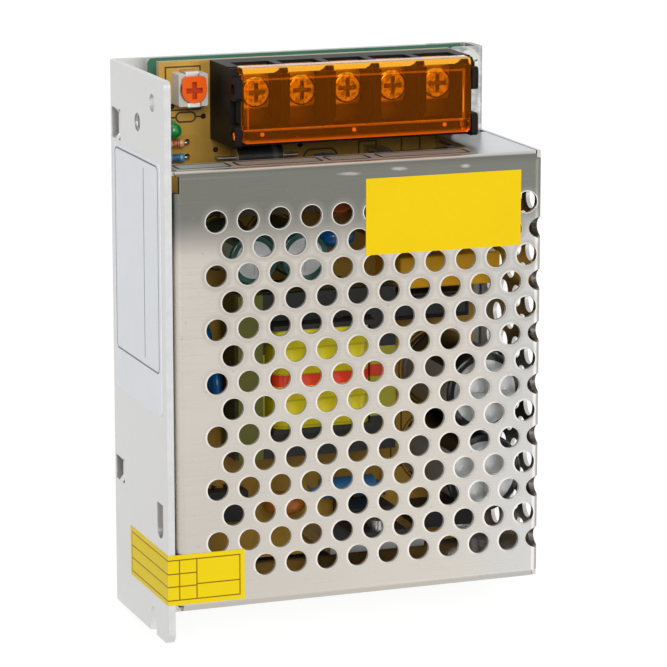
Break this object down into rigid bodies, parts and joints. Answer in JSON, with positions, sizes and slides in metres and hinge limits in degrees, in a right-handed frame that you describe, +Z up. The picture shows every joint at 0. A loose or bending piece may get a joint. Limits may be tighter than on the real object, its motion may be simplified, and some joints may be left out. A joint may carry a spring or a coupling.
{
  "type": "switching power supply",
  "caption": "Enclosed switching power supply: folded chassis, perforated steel cover and a barrier terminal block with a hinged clear flap over screw clamps.",
  "frame": {"origin": "centre of the bounding box, on the underside of the base plate", "axes": "+X from the tall chassis wall to the side wall of the cover, +Y along the case to the terminal end, +Z up through the perforated cover"},
  "size_m": [0.0782, 0.11, 0.0361],
  "materials": {
    "chassis_aluminium": "matte plated sheet",
    "cover_steel": "satin bright sheet",
    "insulation_green": "thin film",
    "board_tan": "laminate",
    "terminal_black": "moulded",
    "plated_brass": "plated",
    "plated_steel": "plated",
    "flap_orange": "clear moulded",
    "trimmer_white": "moulded",
    "rotor_orange": "moulded",
    "lamp_green": "diffuse lens",
    "ferrite": "sintered",
    "bobbin_dark": "moulded",
    "winding_yellow": "polyester tape",
    "tape_olive": "polyester tape",
    "copper_wire": "enamelled wire",
    "can_green": "shrunk sleeve on a can",
    "can_black": "shrunk sleeve on a can",
    "film_yellow": "moulded box",
    "disc_blue": "dipped",
    "disc_orange": "dipped",
    "thermistor_dark": "dipped",
    "fuse_glass": "clear tube",
    "plated_metal": "plated",
    "package_black": "moulded",
    "sink_aluminium": "plain sheet",
    "resistor_tan": "lacquered",
    "resistor_blue": "lacquered",
    "label_blue": "satin film",
    "label_yellow": "satin film",
    "label_grey": "satin film"
  },
  "bodies": {
    "case": {"axial_resistors_blue": "resistor_blue", "axial_resistors_tan": "resistor_tan", "board_screws": "plated_steel", "bridge_rectifier": "package_black", "chassis": "chassis_aluminium", "choke_core": "ferrite", "choke_windings": "copper_wire", "circuit_board": "board_tan", "control_chip": "package_black", "cover": "cover_steel", "cover_label": "label_yellow", "cover_screws": "plated_steel", "date_label": "label_yellow", "device_screws": "plated_steel", "disc_capacitors": "disc_blue", "film_capacitor": "film_yellow", "fuse_caps": "plated_metal", "fuse_clips": "plated_metal", "fuse_tube": "fuse_glass", "heat_sink_input": "sink_aluminium", "heat_sink_output": "sink_aluminium", "indicator_lamp": "lamp_green", "input_capacitors": "can_black", "inrush_thermistor": "thermistor_dark", "insulating_sheet": "insulation_green", "optocoupler": "package_black", "output_capacitors": "can_green", "output_diode": "package_black", "output_inductor": "ferrite", "output_rectifier": "package_black", "power_resistor": "resistor_blue", "power_transistor": "package_black", "shelf_label": "label_grey", "side_label": "label_blue", "surge_disc": "disc_orange", "terminal_contacts": "plated_brass", "terminal_housing": "terminal_black", "transformer_bobbin": "bobbin_dark", "transformer_core_e": "ferrite", "transformer_core_i": "ferrite", "transformer_tape": "tape_olive", "transformer_winding": "winding_yellow", "trimmer_body": "trimmer_white"},
    "flap": {"terminal_flap": "flap_orange"},
    "rotor": {"trimmer_rotor": "rotor_orange"},
    "clamp_1": {"terminal_clamp_1": "plated_brass"},
    "screw_1": {"terminal_screw_1": "plated_steel"},
    "clamp_2": {"terminal_clamp_2": "plated_brass"},
    "screw_2": {"terminal_screw_2": "plated_steel"},
    "clamp_3": {"terminal_clamp_3": "plated_brass"},
    "screw_3": {"terminal_screw_3": "plated_steel"},
    "clamp_4": {"terminal_clamp_4": "plated_brass"},
    "screw_4": {"terminal_screw_4": "plated_steel"},
    "clamp_5": {"terminal_clamp_5": "plated_brass"},
    "screw_5": {"terminal_screw_5": "plated_steel"}
  },
  "joints": [
    {"name": "flap_hinge", "type": "hinge", "parent": "case", "child": "flap", "pos_m": [0.00485, 0.04165, 0.0219], "axis": [1, 0, 0], "range_deg": [0, 95]},
    {"name": "trimmer_turn", "type": "hinge", "parent": "case", "child": "rotor", "pos_m": [-0.02535, 0.0497, 0.0128], "axis": [0, 0, 1], "range_deg": [-130, 130]},
    {"name": "clamp_lift_1", "type": "slide", "parent": "case", "child": "clamp_1", "axis": [0, 0, 1], "range_m": [0, 0.003]},
    {"name": "screw_turn_1", "type": "hinge", "parent": "clamp_1", "child": "screw_1", "pos_m": [-0.01419, 0.0494, 0.0155], "axis": [0, 0, 1], "range_deg": [0, 1800]},
    {"name": "clamp_lift_2", "type": "slide", "parent": "case", "child": "clamp_2", "axis": [0, 0, 1], "range_m": [0, 0.003]},
    {"name": "screw_turn_2", "type": "hinge", "parent": "clamp_2", "child": "screw_2", "pos_m": [-0.00467, 0.0494, 0.0155], "axis": [0, 0, 1], "range_deg": [0, 1800]},
    {"name": "clamp_lift_3", "type": "slide", "parent": "case", "child": "clamp_3", "axis": [0, 0, 1], "range_m": [0, 0.003]},
    {"name": "screw_turn_3", "type": "hinge", "parent": "clamp_3", "child": "screw_3", "pos_m": [0.00485, 0.0494, 0.0155], "axis": [0, 0, 1], "range_deg": [0, 1800]},
    {"name": "clamp_lift_4", "type": "slide", "parent": "case", "child": "clamp_4", "axis": [0, 0, 1], "range_m": [0, 0.003]},
    {"name": "screw_turn_4", "type": "hinge", "parent": "clamp_4", "child": "screw_4", "pos_m": [0.01437, 0.0494, 0.0155], "axis": [0, 0, 1], "range_deg": [0, 1800]},
    {"name": "clamp_lift_5", "type": "slide", "parent": "case", "child": "clamp_5", "axis": [0, 0, 1], "range_m": [0, 0.003]},
    {"name": "screw_turn_5", "type": "hinge", "parent": "clamp_5", "child": "screw_5", "pos_m": [0.02389, 0.0494, 0.0155], "axis": [0, 0, 1], "range_deg": [0, 1800]}
  ],
  "couplings": [
    {"joint": "screw_turn_1", "follows": "clamp_lift_1", "rad_per_m": 10472},
    {"joint": "screw_turn_2", "follows": "clamp_lift_2", "rad_per_m": 10472},
    {"joint": "screw_turn_3", "follows": "clamp_lift_3", "rad_per_m": 10472},
    {"joint": "screw_turn_4", "follows": "clamp_lift_4", "rad_per_m": 10472},
    {"joint": "screw_turn_5", "follows": "clamp_lift_5", "rad_per_m": 10472}
  ]
}
